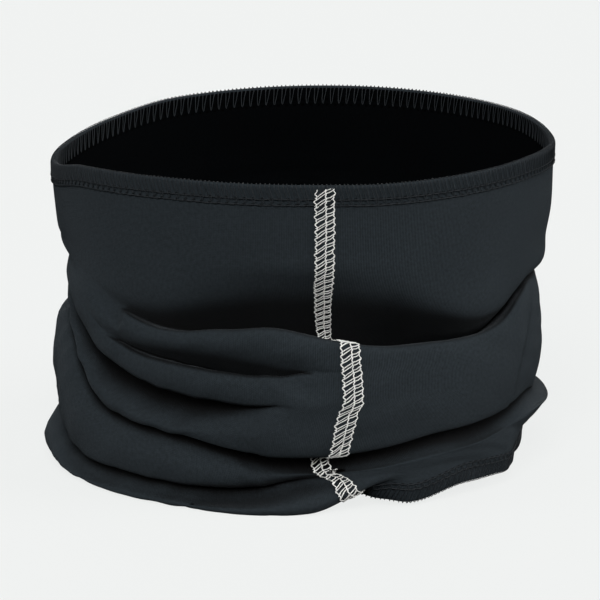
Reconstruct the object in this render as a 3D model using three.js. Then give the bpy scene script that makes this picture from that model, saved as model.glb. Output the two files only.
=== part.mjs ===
// A knitted neck gaiter, standing on its lower edge: a stretch-knit tube whose upper half stands
// open and whose lower half has slumped into folds. One sheet of cloth goes round once, its two
// side edges meet at a flat seam in white thread, and both round edges are overlocked.
//
// Millimetres, +Z up, the seam at the front (-Y), +X to the right. The origin is on the ground
// under the middle of the tube.

import * as THREE from 'three';

// ---- Driving dimensions ----------------------------------------------------------------------

const OPENING_WIDTH = 173; // across the open tube, side to side
const OPENING_DEPTH = 158; // across the open tube, front to back
const STANDING_HEIGHT = 112.5; // ground to the upper edge at the front
const CLOTH_THICKNESS = 1.4;

const SEAM_WIDTH = 6.4; // between the two outer needle threads of the flat seam
const SEAM_BUTT_GAP = 0.8; // between the two edges of the sheet, under the seam
const SEAM_CENTRE_OFFSET = 0.35; // the middle needle runs a little right of centre
const EDGE_STITCH_WIDTH = 6.4; // the overlock stitches on each round edge
const EDGE_BAND_WIDTH = EDGE_STITCH_WIDTH + 0.4; // the flat band of cloth they are sewn on
const LAST_NEEDLE_ROW = EDGE_STITCH_WIDTH - 0.3; // distance of the inner needle row from the edge
const EDGE_NEEDLE_ROWS = [LAST_NEEDLE_ROW - 2, LAST_NEEDLE_ROW];
const THREAD_WIDTH = 0.5;
const THREAD_THICKNESS = 0.4;
const CLEARANCE = 0.35; // left between threads, and between a thread and the cloth

const COLUMNS = 72; // steps round the tube
const DEGREES_PER_MM = 360 / (Math.PI * (OPENING_WIDTH + OPENING_DEPTH) / 2);

// ---- The fold plan ---------------------------------------------------------------------------
// The heights in a plan are for one standing height. At another one they move up or down in
// proportion, but the foot of the cloth keeps the room that the rolled band along the hem needs.
const PLAN_HEIGHT = 112.5;
const PLAN_FOOT = 12;
const PLAN_SCALE = STANDING_HEIGHT / PLAN_HEIGHT;
const FOOT_ROOM = EDGE_BAND_WIDTH + 5.2;

// Azimuths are in degrees from the front, positive to the right. Each fold is a valley that runs
// round the cloth. A row gives [azimuth, height, depth, lap]: the height of the crease line that
// shows, how far the valley is pulled in, and how far it hides behind the roll next to it. A
// positive lap is a pocket, where the roll below stands up in front of the valley. A negative lap
// is an overhang, where the roll above hangs down in front of it.

const HOLLOW = [
  [-150, 78, 0, 0], [-90, 76, 0, 0], [-60, 72, 1, 0], [-45, 64, 4, 0], [-32, 60.5, 8, 1],
  [-20, 62, 13, 4], [-8, 63.5, 17, 6], [3, 61, 20, 6], [12, 58, 23, 6], [23, 56, 25, 6],
  [35, 56, 21, 6], [45, 56.5, 15, 6], [54, 59.5, 9, 4], [62, 65, 6, 2], [70, 68, 5, 1],
  [90, 67, 6, 0], [125, 66, 10, 3], [160, 72, 9, 3], [180, 79, 3, 0],
];
const SLIT = [
  [-150, 72, 0, 0], [-90, 72, 0, 0], [-62, 66, 0, 0], [-50, 56, 1, 0], [-42, 52, 4, 0.5],
  [-36, 50.5, 6, 1], [-29, 49.5, 9, 2.5], [-20, 48.5, 12, 4], [-11, 47.5, 11, 4], [-4, 48, 5, 2],
  [4, 49.5, 1, 0], [15, 49, 0, 0], [40, 48, 0, 0], [60, 54, 0, 0], [90, 57, 0, 0],
  [130, 57, 0, 0], [180, 70, 0, 0],
];
const GROOVE = [
  [-150, 60, 0, 0], [-105, 62, 0, 0], [-85, 66, 1, 0], [-76, 65, 4, -1], [-70, 62.5, 7, -1],
  [-64, 57.5, 9, -1], [-58, 52.5, 11, -2], [-52, 48, 12, -2], [-46, 45, 13, -2],
  [-40, 42.5, 13, -3], [-35, 41, 13, -3], [-28, 39.5, 12, -3], [-20, 38, 9, -2],
  [-10, 37, 3, -1], [0, 37, 0, 0], [40, 40, 0, 0], [60, 45, 0, 0], [90, 48, 0, 0],
  [130, 50, 0, 0], [180, 63, 0, 0],
];
const CREASE = [
  [-150, 46, 8, -3], [-120, 50, 8, -3], [-105, 54, 8, -3], [-90, 57, 8, -2], [-80, 57, 7, -1],
  [-72, 52, 8, -2], [-66, 45.5, 9, -3], [-60, 38.5, 10, -3], [-54, 32.5, 9, -3],
  [-48, 29, 7, -3], [-41, 27, 6, -3], [-34, 25.5, 5, -3], [-25, 24, 5, -2], [-16, 21.5, 5, -2],
  [-7, 19.5, 6, -2], [3, 19.5, 8, -3], [16, 21, 9, -3], [31, 24.5, 10, -3], [42, 25.5, 10, -3],
  [53, 28, 9, -3], [65, 30, 8, -3], [90, 25, 6, -2], [120, 28, 7, -3], [150, 36, 8, -3],
  [180, 42, 8, -3],
];
const FOOT = [
  [-150, 19, 3, -1], [-120, 23, 5, -2], [-90, 23.5, 7, -2], [-81, 20.5, 8, -2],
  [-74, 16, 8, -3], [-67, 11.5, 7, -3], [-60, 9.5, 6, -3], [-43, 8.5, 6, -3], [-30, 7.8, 5, -3],
  [-20, 7.3, 5, -3], [-12, 8, 4, -2], [-4, 9.5, 2.5, -1], [4, 11, 1, 0], [12, 11.5, 0, 0],
  [25, 13.5, 0, 0], [42, 16.5, 0, 0], [60, 19.5, 0, 0], [90, 21, 0, 0], [130, 20, 0, 0],
  [180, 15, 0, 0],
];
// spread is how far the soft side of the fold reaches up or down, for each millimetre of depth.
const FOLDS = [
  { plan: HOLLOW, spread: 0.65 },
  { plan: SLIT, spread: 0.35 },
  { plan: GROOVE, spread: 0.7 },
  { plan: CREASE, spread: 0.4 },
  { plan: FOOT, spread: 0.4 },
];
const CREASE_PLACE = 3; // the crease's place among the folds

// The roof of the hollow: how far above the crease line the panel starts to turn in, and how far
// in it already is there.
const ROOF = [
  [-60, 2, 0], [-45, 6, 0.5], [-32, 10, 1.2], [-20, 13, 2], [-8, 14, 2.8], [2, 16, 3.5],
  [12, 18, 3.2], [20, 18, 2.5], [31, 13, 1.5], [45, 6, 1], [54, 4, 0.6], [70, 3, 0.5],
  [90, 3, 0.5], [125, 8, 1], [160, 8, 1], [180, 3, 0.2],
];

// Drop of the upper edge below its height at the front: it dips on the left.
const RIM_DROP = [
  [-150, 1.5], [-128, 5], [-105, 8], [-90, 8.5], [-75, 6.5], [-60, 2.5], [-45, 1], [-25, 0],
  [0, 0], [20, 0.7], [60, 0.3], [90, 2], [120, 0], [160, -0.5],
];
// The hem: the height of its edge and how far it is drawn in where it stands free, and how far it
// is rolled under, from 0, standing free, to 1, turned up inside the lowest roll.
const HEM = [
  [-165, 0, 0.5, 0], [-158, 0, 0.5, 0.1], [-132, 3, 2, 0.9], [-120, 3, 2, 1], [-5, 3, 2, 1],
  [2, 3, 2, 0.95], [20, 3, 2, 0.1], [26, 2, 1, 0], [42, 6, 1, 0], [55, 5.5, 1, 0],
  [64, 5, 5, 0], [75, 5.5, 9, 0], [90, 6, 9, 0], [115, 2.5, 5, 0], [140, 0, 1, 0],
];
// How far the cloth under the crease is drawn in beside the open upper edge.
const WAIST = [
  [-90, 3.4], [-65, 1.5], [-45, 0.3], [-30, 1], [-18, 3], [-5, 4.2], [8, 3.2], [20, 1], [45, 0],
  [70, 0.8], [90, 1], [125, 1.5], [180, 0.5],
];
// How far the open panel is drawn in: at its upper edge, in its upper part, above the hollow, and
// in the big roll under the hollow.
const PANEL = [
  [-120, 1.4, 3, 4.2, 5.5], [-90, 1.4, 3.1, 4.3, 8], [-75, 1.2, 2.9, 4.2, 5],
  [-60, 0.8, 2, 3, 1.5], [-30, 0, 1, 2, 0], [50, 0, 1, 2, 0], [75, 0, 1.2, 2.5, 3.5],
  [90, -0.6, 0.2, 2.5, 6], [120, 0, 1, 2, 3.5], [180, 0, 1, 2, 2],
];
// The lowest roll, where the hem is rolled under: its fullest line, and where it meets the ground.
const FOOT_ROLL = [
  [-150, -1.3, 1.6], [-105, -1.6, 1.6], [-90, -2, 1.5], [-76, -1.3, 5.5], [-60, -1, 8],
  [-39, -1, 3.8], [-22, -2, 0], [-13, -3, -2], [0, -3, -2], [20, -1.3, 1.6],
  [90, -1.3, 1.6],
];

const UPPER_PANEL_DROP = 22;
const BAND_INSET = 0.2; // the foot of the upper edge's flat band, in from its edge
const PANEL_SHARE = 0.7; // of the way from the upper part's inset to the one above the hollow
const LIP_INSET = 1; // the rounded edge of a roll, in from its fullest line
const ROLL_FULLNESS = 0.1; // how far a roll swells, for each millimetre of its height
const MOST_SWELL = 2.2;
const CROWN = 0.06; // how far the big roll swells, for each millimetre of its height
const LEAST_STEP = 1.6; // between neighbouring lines where the cloth lies plain
const LEAST_ROLL = 4; // between two folds that are both formed: a roll of two walls
const FULL_FOLD = 3; // a valley this deep is a fold with lips of its own
const LEAST_SPREAD = 2; // the soft side of a fold, before its depth adds to it
const FOOT_BULGE = 0.4; // height of the lowest roll's fullest line, for each of the fold above it
const CONTACT_WIDTH = 5.4; // of the lowest roll on the ground
const LEAST_CONTACT = 1.6; // the rolled band stays at least this far in, and then by its own inset
const ROLLED_BAND = { height: 3, inset: 9.4 };
const STANDING_HEM_LEAN = -80; // degrees up from level, inwards, of the band along the hem
const ROLLED_HEM_LEAN = 80;

// The knit has twisted as it slumped, so the seam wanders: degrees right of the front at the
// upper edge, in each fold and at the hem.
const SEAM_AT_EDGE = 5.5;
const SEAM_AT_FOLDS = [
  [5.5, 8, 11], [11.2, 11.4, 11.5], [11.5, 11.2, 10.6], [8.4, 5, 5.2], [7, 8.5, 9.5],
];
const SEAM_AT_HEM = 13.4;
const SEAM_TWIST_TO_HEM = [0.3, 0.6, 0.8, 1, 1]; // its share on each line from the foot to the hem

// ---- Materials -------------------------------------------------------------------------------

const charcoalKnit = new THREE.MeshStandardMaterial({
  name: 'charcoal_knit', color: 0x262c30, roughness: 0.95, metalness: 0,
});
const charcoalThread = new THREE.MeshStandardMaterial({
  name: 'charcoal_thread', color: 0x1f2427, roughness: 0.85, metalness: 0,
});
const whiteThread = new THREE.MeshStandardMaterial({
  name: 'white_thread', color: 0xd8d8d4, roughness: 0.6, metalness: 0,
});

// ---- Reading a plan --------------------------------------------------------------------------

// The value in a plan's column at an azimuth: a monotone cubic through its rows, closed at 360.
function readPlan(plan, azimuth, column) {
  const turned = ((azimuth - plan[0][0]) % 360 + 360) % 360 + plan[0][0];
  const count = plan.length;
  const at = (i) => {
    const lap = Math.floor(i / count);
    const row = plan[i - lap * count];
    return [row[0] + 360 * lap, row[column]];
  };
  let i = 0;
  while (i < count - 1 && at(i + 1)[0] <= turned) i += 1;
  const slope = (k) => (at(k + 1)[1] - at(k)[1]) / (at(k + 1)[0] - at(k)[0]);
  const tangent = (k) => {
    const before = slope(k - 1);
    const after = slope(k);
    return before * after <= 0 ? 0 : 2 * before * after / (before + after);
  };
  const [x0, y0] = at(i);
  const [x1, y1] = at(i + 1);
  const width = x1 - x0;
  const t = (turned - x0) / width;
  return y0 * (2 * t ** 3 - 3 * t ** 2 + 1) + y1 * (3 * t ** 2 - 2 * t ** 3)
    + width * (tangent(i) * (t ** 3 - 2 * t ** 2 + t) + tangent(i + 1) * (t ** 3 - t ** 2));
}

const mix = (a, b, share) => a + (b - a) * share;

// A plan's height, at this standing height.
function standing(height) {
  if (height < PLAN_FOOT) return height * FOOT_ROOM / PLAN_FOOT;
  return mix(FOOT_ROOM, STANDING_HEIGHT, (height - PLAN_FOOT) / (PLAN_HEIGHT - PLAN_FOOT));
}

// ---- The cloth -------------------------------------------------------------------------------

// The seam's twist fades to nothing round the back.
function azimuthOf(around, seamAt) {
  const fade = Math.cos(THREE.MathUtils.degToRad(around) / 2) ** 2;
  return around + seamAt * fade;
}

// Where the seam lies on each line of the profile.
const seamAtLine = [SEAM_AT_EDGE, SEAM_AT_EDGE, SEAM_AT_EDGE, SEAM_AT_EDGE];
SEAM_AT_FOLDS.forEach((fold, i) => {
  seamAtLine.push(...fold);
  const next = SEAM_AT_FOLDS[i + 1];
  if (next) seamAtLine.push(mix(fold[2], next[0], 0.5));
});
const FREE_HEM_FROM = seamAtLine.length - 4; // the line below the crease
const seamAtFoot = seamAtLine.at(-1);
seamAtLine.push(...SEAM_TWIST_TO_HEM.map((share) => mix(seamAtFoot, SEAM_AT_HEM, share)));

// One fold at an azimuth: the heights of its upper lip, valley and lower lip, and how far each is
// drawn in.
function foldLines({ plan, spread }, azimuth) {
  const height = standing(readPlan(plan, azimuth, 1));
  const depth = readPlan(plan, azimuth, 2);
  const lap = PLAN_SCALE * readPlan(plan, azimuth, 3);
  const formed = Math.min(1, depth / FULL_FOLD);
  const soft = mix(LEAST_STEP, PLAN_SCALE * (depth * spread + LEAST_SPREAD), formed);
  const sharp = mix(LEAST_STEP, 0, formed);
  return {
    height,
    upper: height + (lap > 0 ? soft : sharp),
    valley: height - lap,
    lower: height - (lap > 0 ? sharp : soft),
    depth,
    lip: LIP_INSET * formed,
    formed,
  };
}

// Parts two lines of neighbouring folds that have come closer than the least height between them.
function keepApart(above, part, below, beside, least) {
  const short = Math.max(0, least - (above[part] - below[beside]));
  above[part] += short / 2;
  below[beside] -= short / 2;
}

// The outside of the cloth at an azimuth, from the upper edge to the hem: a list of [height,
// inset], with three lines for each fold and one for the full part of each roll between them.
function profileAt(azimuth) {
  const read = (plan, column) => readPlan(plan, azimuth, column);
  const rimHeight = STANDING_HEIGHT - PLAN_SCALE * read(RIM_DROP, 1);
  const waist = read(WAIST, 1);
  const [edgeInset, upperInset, lowerInset, gather] = [1, 2, 3, 4].map((c) => read(PANEL, c));
  const [bulge, contact] = [1, 2].map((column) => read(FOOT_ROLL, column));
  const hemHeight = standing(read(HEM, 1));
  const [hemInset, rolled] = [2, 3].map((column) => read(HEM, column));

  // Where two folds run together, the roll between them keeps a little height.
  const folds = FOLDS.map((fold) => foldLines(fold, azimuth));
  folds[0].upper = folds[0].height + PLAN_SCALE * read(ROOF, 1);
  for (let i = 1; i < folds.length; i += 1) {
    const [above, below] = [folds[i - 1], folds[i]];
    const least = mix(LEAST_STEP, LEAST_ROLL, Math.min(above.formed, below.formed));
    keepApart(above, 'lower', below, 'upper', least);
    keepApart(above, 'valley', below, 'valley', least);
  }

  const panelHeight = rimHeight - PLAN_SCALE * UPPER_PANEL_DROP;
  const lines = [
    [rimHeight, edgeInset],
    [rimHeight - EDGE_BAND_WIDTH, edgeInset + BAND_INSET],
    [panelHeight, upperInset],
    [(panelHeight + folds[0].upper) / 2, mix(upperInset, lowerInset, PANEL_SHARE)],
  ];
  // Between the hollow and the crease the cloth is one big roll, wherever no fold divides it.
  const rollTop = folds[0].lower;
  const rollFoot = folds[CREASE_PLACE].upper;
  const crown = Math.min(MOST_SWELL, CROWN * (rollTop - rollFoot));
  const bigRoll = (height) => {
    const fromMiddle = (2 * height - rollTop - rollFoot) / (rollTop - rollFoot);
    return crown * Math.max(0, 1 - fromMiddle ** 2);
  };
  folds.forEach((fold, i) => {
    const inBigRoll = i > 0 && i < CREASE_PLACE;
    const beside = i < CREASE_PLACE ? gather : waist;
    const swell = (height) => (inBigRoll ? (1 - fold.formed) * bigRoll(height) : 0);
    const upperLip = () => {
      if (i === 0) return lowerInset + read(ROOF, 2);
      return (i > CREASE_PLACE ? waist : gather) + fold.lip;
    };
    lines.push([fold.upper, upperLip() - swell(fold.upper)]);
    lines.push([fold.valley, beside + fold.depth - swell(fold.valley)]);
    lines.push([fold.lower, beside + fold.lip - swell(fold.lower)]);
    const next = folds[i + 1];
    if (!next) return;
    const height = (fold.lower + next.upper) / 2;
    const ownSwell = Math.min(MOST_SWELL, ROLL_FULLNESS * (fold.lower - next.upper));
    const cutAbove = i > 0 ? fold.formed : 0;
    const cutBelow = i + 1 < CREASE_PLACE ? next.formed : 0;
    const divided = i < CREASE_PLACE ? Math.max(cutAbove, cutBelow) : 1;
    lines.push([height, beside - mix(bigRoll(height), ownSwell, divided)]);
  });
  lines.push([folds.at(-1).lower * FOOT_BULGE, bulge]);
  lines.push([0, contact]);
  lines.push([0, contact + CONTACT_WIDTH]);

  // Where the hem stands free, the cloth runs evenly down to it from the lowest fold that shows.
  const hemTop = hemHeight + EDGE_BAND_WIDTH;
  const [startHeight, startInset] = lines[FREE_HEM_FROM];
  for (let k = FREE_HEM_FROM + 1; k < lines.length; k += 1) {
    const share = (k - FREE_HEM_FROM) / (lines.length - FREE_HEM_FROM);
    lines[k][0] = mix(mix(startHeight, hemTop, share), lines[k][0], rolled);
    lines[k][1] = mix(mix(startInset, hemInset, share), lines[k][1], rolled);
  }

  // The stitched band along the hem stays flat, and leans as it rolls under.
  const rolledInset = Math.max(contact, LEAST_CONTACT) + ROLLED_BAND.inset;
  const top = [mix(hemTop, ROLLED_BAND.height, rolled), mix(hemInset, rolledInset, rolled)];
  const lean = THREE.MathUtils.degToRad(mix(STANDING_HEM_LEAN, ROLLED_HEM_LEAN, rolled));
  lines.push(top);
  lines.push([
    Math.max(0, top[0] + EDGE_BAND_WIDTH * Math.sin(lean)),
    top[1] + EDGE_BAND_WIDTH * Math.cos(lean),
  ]);
  return lines;
}

// The same lines for a place on the sheet, around degrees from the seam: the seam wanders from
// line to line, so each has its own azimuth.
function crossSection(around) {
  return seamAtLine.map((seamAt, k) => {
    const azimuth = azimuthOf(around, seamAt);
    const [height, inset] = profileAt(azimuth)[k];
    return { azimuth, height, inset };
  });
}

function toPoint({ azimuth, height, inset }) {
  const angle = THREE.MathUtils.degToRad(azimuth);
  return new THREE.Vector3(
    (OPENING_WIDTH / 2 - inset) * Math.sin(angle),
    -(OPENING_DEPTH / 2 - inset) * Math.cos(angle),
    height,
  );
}

// Columns of points on the outside of the sheet, from one edge of the seam round to the other.
const halfGap = SEAM_BUTT_GAP / 2 * DEGREES_PER_MM;
const columnAt = Array.from(
  { length: COLUMNS + 1 },
  (_, i) => halfGap + (360 - 2 * halfGap) * i / COLUMNS,
);
const outside = columnAt.map((around) => crossSection(around).map(toPoint));
const ROWS = outside[0].length;

// The outward direction at each point, from the cloth's facets on either side of it. It is longer
// than 1 at a sharp bend, so that the wall keeps its thickness there. Round the tube the sheet
// meets itself at the seam.
const MOST_MITRE = 1.8;
const outward = outside.map((column, i) => column.map((point, j) => {
  const last = outside.length - 1;
  const right = outside[i === last ? 1 : i + 1][j];
  const left = outside[i === 0 ? last - 1 : i - 1][j];
  const across = right.clone().sub(left);
  const facing = (from, to) => across.clone().cross(from.clone().sub(to)).normalize();
  const above = j > 0 ? facing(column[j - 1], point) : facing(point, column[j + 1]);
  const below = j < ROWS - 1 ? facing(point, column[j + 1]) : above;
  const middle = above.clone().add(below).normalize();
  return middle.multiplyScalar(Math.min(MOST_MITRE, 1 / middle.dot(above)));
}));
const inside = outside.map((column, i) => column.map(
  (point, j) => point.clone().addScaledVector(outward[i][j], -CLOTH_THICKNESS),
));

// How far the cloth's facets may stand off a straight line across them, at each point: a quarter
// of the twist of the most twisted facet that meets there.
const twist = outside.slice(1).map((right, i) => right.slice(1).map((lowerRight, j) => {
  const left = outside[i];
  return lowerRight.clone().add(left[j]).sub(right[j]).sub(left[j + 1]).length() / 4;
}));
const standOff = outside.map((column, i) => column.map((_, j) => {
  const facets = [i - 1, i].flatMap((a) => [j - 1, j].map((b) => twist.at(a % twist.length)?.[b]));
  return Math.max(...facets.filter((value) => value !== undefined));
}));

// A closed solid between two matching grids of points, each grid[i][j]. A looped one closes on
// itself along i.
function solidBetween(front, back, looped = false) {
  const [length, width] = [front.length, front[0].length];
  const positions = [...front.flat(), ...back.flat()].flatMap((point) => point.toArray());
  const index = [];
  const at = (side, i, j) => side * length * width + (i % length) * width + j;
  const quad = (a, b, c, d) => index.push(a, b, c, a, c, d);
  const steps = looped ? length : length - 1;
  for (let i = 0; i < steps; i += 1) {
    for (let j = 0; j < width - 1; j += 1) {
      quad(at(0, i, j), at(0, i, j + 1), at(0, i + 1, j + 1), at(0, i + 1, j));
      quad(at(1, i, j), at(1, i + 1, j), at(1, i + 1, j + 1), at(1, i, j + 1));
    }
    quad(at(0, i, 0), at(0, i + 1, 0), at(1, i + 1, 0), at(1, i, 0));
    quad(at(0, i, width - 1), at(1, i, width - 1), at(1, i + 1, width - 1), at(0, i + 1, width - 1));
  }
  if (!looped) {
    const end = length - 1;
    for (let j = 0; j < width - 1; j += 1) {
      quad(at(0, 0, j), at(1, 0, j), at(1, 0, j + 1), at(0, 0, j + 1));
      quad(at(0, end, j), at(0, end, j + 1), at(1, end, j + 1), at(1, end, j));
    }
  }
  const geometry = new THREE.BufferGeometry();
  geometry.setAttribute('position', new THREE.Float32BufferAttribute(positions, 3));
  geometry.setIndex(index);
  geometry.computeVertexNormals();
  return geometry;
}

// ---- Threads ---------------------------------------------------------------------------------

// A point over the cloth's facets. around is in degrees from the seam, row is a fractional line
// of the profile, and lift is outward from the outer face, or inward from the inner one if inner
// is set. A point in a higher layer also clears the twist of the band under it.
function overCloth(around, row, lift, layer, inner) {
  const face = inner ? inside : outside;
  const turned = (around % 360 + 360) % 360;
  const step = (columnAt[COLUMNS] - columnAt[0]) / COLUMNS;
  const place = (turned - columnAt[0]) / step;
  const inGap = place < 0 || place > COLUMNS;
  const i = inGap ? COLUMNS : Math.min(COLUMNS - 1, Math.floor(place));
  const next = inGap ? 0 : i + 1;
  const pastLeftEdge = turned > 180 ? turned - columnAt[COLUMNS] : turned + 360 - columnAt[COLUMNS];
  const share = inGap ? pastLeftEdge / (2 * halfGap) : place - i;
  const j = Math.min(ROWS - 2, Math.floor(row));
  const blend = (grid) => grid[i][j].clone().lerp(grid[next][j], share)
    .lerp(grid[i][j + 1].clone().lerp(grid[next][j + 1], share), row - j);
  const slack = Math.max(standOff[i][j], standOff[next][j], standOff[i][j + 1], standOff[next][j + 1]);
  return blend(face).addScaledVector(blend(outward), (inner ? -1 : 1) * (lift + slack * (layer + 1)));
}

// A band of thread over the cloth. Each of its two long sides is a list of [around, row] pairs,
// the second one to the left of the first when walking along it. layer counts the bands below.
function threadBand(firstSide, secondSide, { layer = 0, inner = false, looped = false } = {}) {
  const foot = CLEARANCE + layer * (THREAD_THICKNESS + CLEARANCE);
  const face = (lift) => firstSide.map((first, i) => [first, secondSide[i]].map(
    ([around, row]) => overCloth(around, row, lift, layer, inner),
  ));
  const near = face(foot);
  const far = face(foot + THREAD_THICKNESS);
  return inner ? solidBetween(near, far, looped) : solidBetween(far, near, looped);
}

const FIRST_SEAM_ROW = 1; // the flat seam's threads start below the overlocked upper edge
const LAST_SEAM_ROW = ROWS - 3; // and end above the hem's

const SEAM_END_CLEARANCE = 0.1; // of a row

function seamBand(leftMm, rightMm, options) {
  const rows = Array.from(
    { length: LAST_SEAM_ROW - FIRST_SEAM_ROW + 1 },
    (_, i) => FIRST_SEAM_ROW + i,
  );
  rows[0] += SEAM_END_CLEARANCE;
  const side = (mm) => rows.map((row) => [mm * DEGREES_PER_MM, row]);
  return threadBand(side(rightMm), side(leftMm), options);
}

function edgeBand(fromMm, toMm, atHem, options) {
  const row = (mm) => {
    const share = mm / EDGE_BAND_WIDTH;
    return atHem ? ROWS - 1 - share : share;
  };
  const side = (mm) => columnAt.map((around) => [around, row(mm)]);
  const [upper, lower] = atHem ? [toMm, fromMm] : [fromMm, toMm];
  return threadBand(side(upper), side(lower), { looped: true, ...options });
}

// ---- The assembly ----------------------------------------------------------------------------

const gaiter = new THREE.Group();

function addPiece(name, geometry, material) {
  const mesh = new THREE.Mesh(geometry, material);
  mesh.name = name;
  gaiter.add(mesh);
}

addPiece('body_panel', solidBetween(outside, inside), charcoalKnit);

const half = SEAM_WIDTH / 2;
const seamNeedles = { left: -half, centre: SEAM_CENTRE_OFFSET, right: half };
Object.entries(seamNeedles).forEach(([side, mm]) => {
  const edge = THREAD_WIDTH / 2;
  const band = seamBand(mm - edge, mm + edge, { layer: 1 });
  addPiece(`seam_needle_thread_${side}`, band, whiteThread);
});
addPiece('seam_cover_thread', seamBand(-half, half, { layer: 0 }), whiteThread);
addPiece('seam_looper_thread', seamBand(-half, half, { inner: true }), whiteThread);

[['top', false], ['hem', true]].forEach(([edge, atHem]) => {
  const reach = EDGE_STITCH_WIDTH;
  addPiece(`${edge}_upper_looper_thread`, edgeBand(CLEARANCE, reach, atHem), charcoalThread);
  addPiece(
    `${edge}_lower_looper_thread`,
    edgeBand(CLEARANCE, reach, atHem, { inner: true }),
    charcoalThread,
  );
  EDGE_NEEDLE_ROWS.forEach((mm, i) => {
    const from = mm - THREAD_WIDTH / 2;
    const band = edgeBand(from, mm + THREAD_WIDTH / 2, atHem, { layer: 1 });
    addPiece(`${edge}_needle_thread_${i + 1}`, band, charcoalThread);
  });
});

export default gaiter;
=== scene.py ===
# %% [markdown]
# # A knitted neck gaiter
# A neck gaiter is a short tube of stretch knit. It is one sheet of cloth, joined edge to edge by a
# flat seam, with an overlocked edge at the top and another at the hem. This one stands on its
# hem: the upper half holds itself open, and the lower half has slumped into folds.
# The lesson goes from the cloth's shape to its stitches, and ends with the light and the camera.

import bpy
import numpy as np
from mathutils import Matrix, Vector, noise


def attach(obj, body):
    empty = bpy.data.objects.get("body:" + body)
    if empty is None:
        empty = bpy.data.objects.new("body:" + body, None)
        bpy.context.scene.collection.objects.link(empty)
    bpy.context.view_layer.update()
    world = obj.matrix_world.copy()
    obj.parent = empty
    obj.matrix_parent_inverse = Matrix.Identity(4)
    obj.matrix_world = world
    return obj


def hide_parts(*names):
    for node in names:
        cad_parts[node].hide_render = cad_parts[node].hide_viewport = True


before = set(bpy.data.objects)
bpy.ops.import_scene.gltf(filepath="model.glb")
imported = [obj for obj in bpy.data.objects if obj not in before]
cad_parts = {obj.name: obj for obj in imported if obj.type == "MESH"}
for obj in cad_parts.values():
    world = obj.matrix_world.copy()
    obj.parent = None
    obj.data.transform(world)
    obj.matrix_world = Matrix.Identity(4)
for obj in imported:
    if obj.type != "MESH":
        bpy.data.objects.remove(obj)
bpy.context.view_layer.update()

MM = 0.001

# %% [markdown]
# ## The sizes
# A few sizes drive the rest. They are in millimetres, and each mesh is turned into metres as it is
# made. The azimuth is measured from the seam's side, the front, and grows to the right.

# %% Driving sizes
OPENING_WIDTH = 173.0
OPENING_DEPTH = 158.0
STANDING_HEIGHT = 112.5
CLOTH_THICKNESS = 1.4
SEAM_BUTT_GAP = 0.1
EDGE_BAND_WIDTH = 6.8
FLAT_WIDTH = np.pi * (OPENING_WIDTH + OPENING_DEPTH) / 2
FLAT_HEIGHT = 160.0
DEGREES_PER_MM = 360 / FLAT_WIDTH
print("flat width of the sheet, mm:", round(FLAT_WIDTH, 1))

# %% [markdown]
# ## The fold plan
# Slumped cloth could be left to a cloth simulation, but a simulation is hard to steer: it folds the
# cloth where it likes. Here each fold is drawn one by one instead, as a valley that runs round the
# tube. A row of a plan is an azimuth, the height of the crease that shows, the depth of the valley
# and its lap: how far the valley hides above the crease (negative, the roll above hangs over it)
# or below it (positive, the roll below stands up in front of it, like a pocket). The number beside
# a plan in the list of folds says how wide its lips spread for the depth of its valley.

# %% Fold plans
HOLLOW = [
    [-150, 78, 0, 0], [-90, 76, 0, 0], [-60, 72, 1, 0], [-45, 64, 4, 0], [-32, 60.5, 8, 1],
    [-20, 62, 13, 4], [-8, 63.5, 17, 6], [3, 61, 20, 6], [12, 58, 23, 6], [23, 56, 25, 6],
    [35, 56, 21, 6], [45, 56.5, 15, 6], [54, 59.5, 9, 4], [62, 65, 6, 2], [70, 68, 5, 1],
    [90, 67, 6, 0], [125, 66, 10, 3], [160, 72, 9, 3], [180, 79, 3, 0],
]
SLIT = [
    [-150, 72, 0, 0], [-90, 72, 0, 0], [-62, 66, 0, 0], [-50, 56, 1, 0], [-42, 52, 4, 0.5],
    [-36, 50.5, 6, 1], [-29, 49.5, 9, 2.5], [-20, 48.5, 12, 4], [-11, 47.5, 11, 4], [-4, 48, 5, 2],
    [4, 49.5, 1, 0], [15, 49, 0, 0], [40, 48, 0, 0], [60, 54, 0, 0], [90, 57, 0, 0],
    [130, 57, 0, 0], [180, 70, 0, 0],
]
GROOVE = [
    [-150, 60, 0, 0], [-105, 62, 0, 0], [-85, 66, 1, 0], [-76, 65, 4, -1], [-70, 62.5, 7, -1],
    [-64, 57.5, 9, -1], [-58, 52.5, 11, -2], [-52, 48, 12, -2], [-46, 45, 13, -2],
    [-40, 42.5, 13, -3], [-35, 41, 13, -3], [-28, 39.5, 12, -3], [-20, 38, 9, -2],
    [-10, 37, 3, -1], [0, 37, 0, 0], [40, 40, 0, 0], [60, 45, 0, 0], [90, 48, 0, 0],
    [130, 50, 0, 0], [180, 63, 0, 0],
]
CREASE = [
    [-150, 46, 8, -3], [-120, 50, 8, -3], [-105, 54, 8, -3], [-90, 57, 8, -2], [-80, 57, 7, -1],
    [-72, 52, 8, -2], [-66, 45.5, 9, -3], [-60, 38.5, 10, -3], [-54, 32.5, 9, -3],
    [-48, 29, 7, -3], [-41, 27, 6, -3], [-34, 25.5, 5, -3], [-25, 24, 5, -2], [-16, 21.5, 5, -2],
    [-7, 19.5, 6, -2], [3, 19.5, 8, -3], [16, 21, 9, -3], [31, 24.5, 10, -3], [42, 25.5, 10, -3],
    [53, 28, 9, -3], [65, 30, 8, -3], [90, 25, 6, -2], [120, 28, 7, -3], [150, 36, 8, -3],
    [180, 42, 8, -3],
]
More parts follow.
